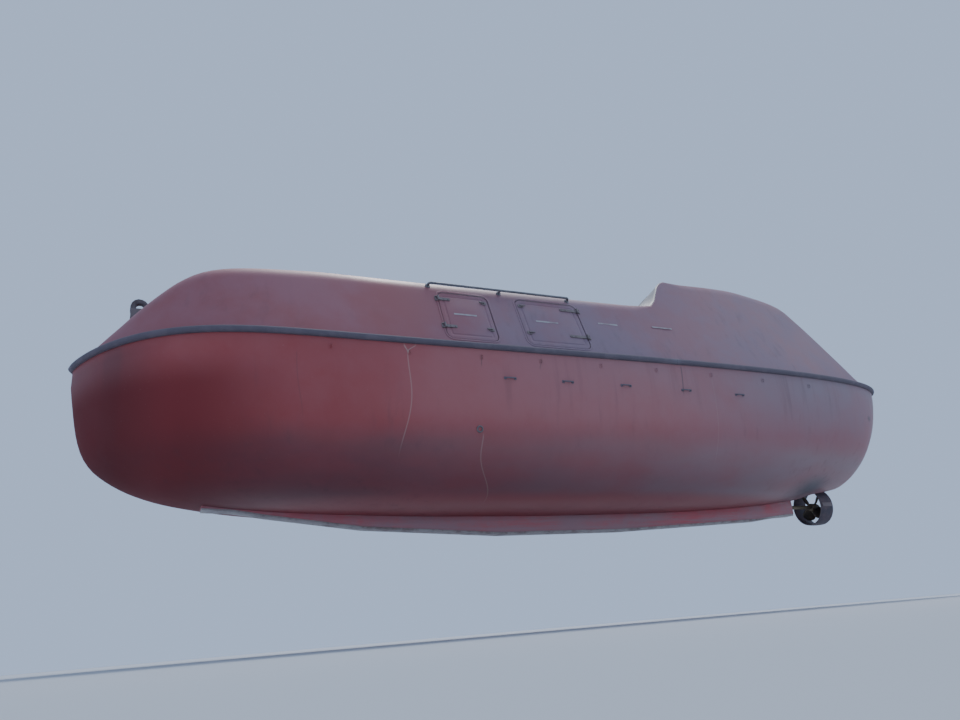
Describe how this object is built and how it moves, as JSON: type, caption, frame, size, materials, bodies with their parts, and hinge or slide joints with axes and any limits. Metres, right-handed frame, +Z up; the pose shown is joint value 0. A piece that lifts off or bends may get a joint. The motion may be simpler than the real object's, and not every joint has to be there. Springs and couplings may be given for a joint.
{
  "type": "totally enclosed lifeboat",
  "caption": "Totally enclosed lifeboat with a raised helm cockpit aft, side doors, roof rails, lifting hooks, gunwale fender and a steering nozzle round the propeller.",
  "frame": {"origin": "amidships on the centre plane, at the waterline", "axes": "+X to the bow, +Y to port, +Z up"},
  "size_m": [11.409, 3.2, 3.745],
  "materials": {
    "hull_red": "weathered red glass-fibre gelcoat, semi-gloss",
    "canopy_red": "weathered red-orange glass-fibre gelcoat, semi-gloss",
    "keel_shoe": "worn grey wear strip",
    "window_glass": "clear, slightly hazed",
    "fender_rubber": "matt dark blue-grey, weathered",
    "rail_steel": "dull stainless tube",
    "fitting_steel": "dull stainless with stains",
    "nozzle_paint": "dark antifouling paint, dull",
    "propeller_bronze": "dull tarnished bronze",
    "lamp_lens": "clear moulded lens",
    "inner_liner": "off-white flowcoat",
    "engine_paint": "grey-green engine enamel",
    "helm_black": "black moulded plastic"
  },
  "bodies": {
    "boat": {"hull": "hull_red", "keel": "hull_red", "keel_shoe": "keel_shoe", "canopy": "canopy_red", "window_front_port": "window_glass", "window_front_stbd": "window_glass", "fender_port_fore": "fender_rubber", "fender_port_aft": "fender_rubber", "fender_stbd_fore": "fender_rubber", "fender_stbd_aft": "fender_rubber", "rail_port": "rail_steel", "rail_stbd": "rail_steel", "hook_post_fore": "fitting_steel", "hook_post_aft": "fitting_steel", "towing_eye": "fitting_steel", "lamp": "lamp_lens", "sole": "inner_liner", "bench_port": "inner_liner", "bench_stbd": "inner_liner", "engine": "engine_paint", "helm_platform": "inner_liner", "helm_seat": "helm_black", "helm_console": "inner_liner", "helm_wheel": "helm_black"},
    "port_fwd_door": {"door_port_fwd": "canopy_red"},
    "port_aft_door": {"door_port_aft": "canopy_red"},
    "stbd_fwd_door": {"door_stbd_fwd": "canopy_red"},
    "stbd_aft_door": {"door_stbd_aft": "canopy_red"},
    "bow_hatch": {"hatch_bow": "canopy_red"},
    "cockpit_hatch": {"hatch_cockpit": "canopy_red"},
    "aft_hatch": {"hatch_aft": "canopy_red"},
    "fore_hook": {"hook_fore": "fitting_steel"},
    "aft_hook": {"hook_aft": "fitting_steel"},
    "nozzle": {"steering_nozzle": "nozzle_paint"},
    "screw": {"propeller": "propeller_bronze"}
  },
  "joints": [
    {"name": "door_port_fwd_hinge", "type": "hinge", "parent": "boat", "child": "port_fwd_door", "pos_m": [1.905, 1.53854, 1.00249], "axis": [0, 0.3746, -0.9272], "range_deg": [0, 110]},
    {"name": "door_port_aft_hinge", "type": "hinge", "parent": "boat", "child": "port_aft_door", "pos_m": [0.01, 1.53854, 1.00249], "axis": [0, -0.3746, 0.9272], "range_deg": [0, 110]},
    {"name": "door_stbd_fwd_hinge", "type": "hinge", "parent": "boat", "child": "stbd_fwd_door", "pos_m": [1.905, -1.53854, 1.00249], "axis": [0, 0.3746, 0.9272], "range_deg": [0, 110]},
    {"name": "door_stbd_aft_hinge", "type": "hinge", "parent": "boat", "child": "stbd_aft_door", "pos_m": [0.01, -1.53854, 1.00249], "axis": [0, -0.3746, -0.9272], "range_deg": [0, 110]},
    {"name": "hatch_bow_hinge", "type": "hinge", "parent": "boat", "child": "bow_hatch", "pos_m": [4.51872, 0, 2.01855], "axis": [0, -1, 0], "range_deg": [0, 95]},
    {"name": "hatch_cockpit_hinge", "type": "hinge", "parent": "boat", "child": "cockpit_hatch", "pos_m": [-2.78738, 0, 2.74373], "axis": [0, -1, 0], "range_deg": [0, 100]},
    {"name": "hatch_aft_hinge", "type": "hinge", "parent": "boat", "child": "aft_hatch", "pos_m": [-4.32351, 0, 2.23079], "axis": [0, 1, 0], "range_deg": [0, 100]},
    {"name": "hook_fore_pivot", "type": "hinge", "parent": "boat", "child": "fore_hook", "pos_m": [5.09, 0, 1.7], "axis": [0, 1, 0], "range_deg": [0, 60]},
    {"name": "hook_aft_pivot", "type": "hinge", "parent": "boat", "child": "aft_hook", "pos_m": [-4.86, 0, 1.66], "axis": [0, -1, 0], "range_deg": [0, 60]},
    {"name": "nozzle_steering", "type": "hinge", "parent": "boat", "child": "nozzle", "pos_m": [-4.65, 0, -0.598], "axis": [0, 0, 1], "range_deg": [-35, 35]},
    {"name": "propeller_shaft", "type": "hinge", "parent": "boat", "child": "screw", "pos_m": [-4.65, 0, -0.598], "axis": [1, 0, 0], "continuous": true}
  ]
}
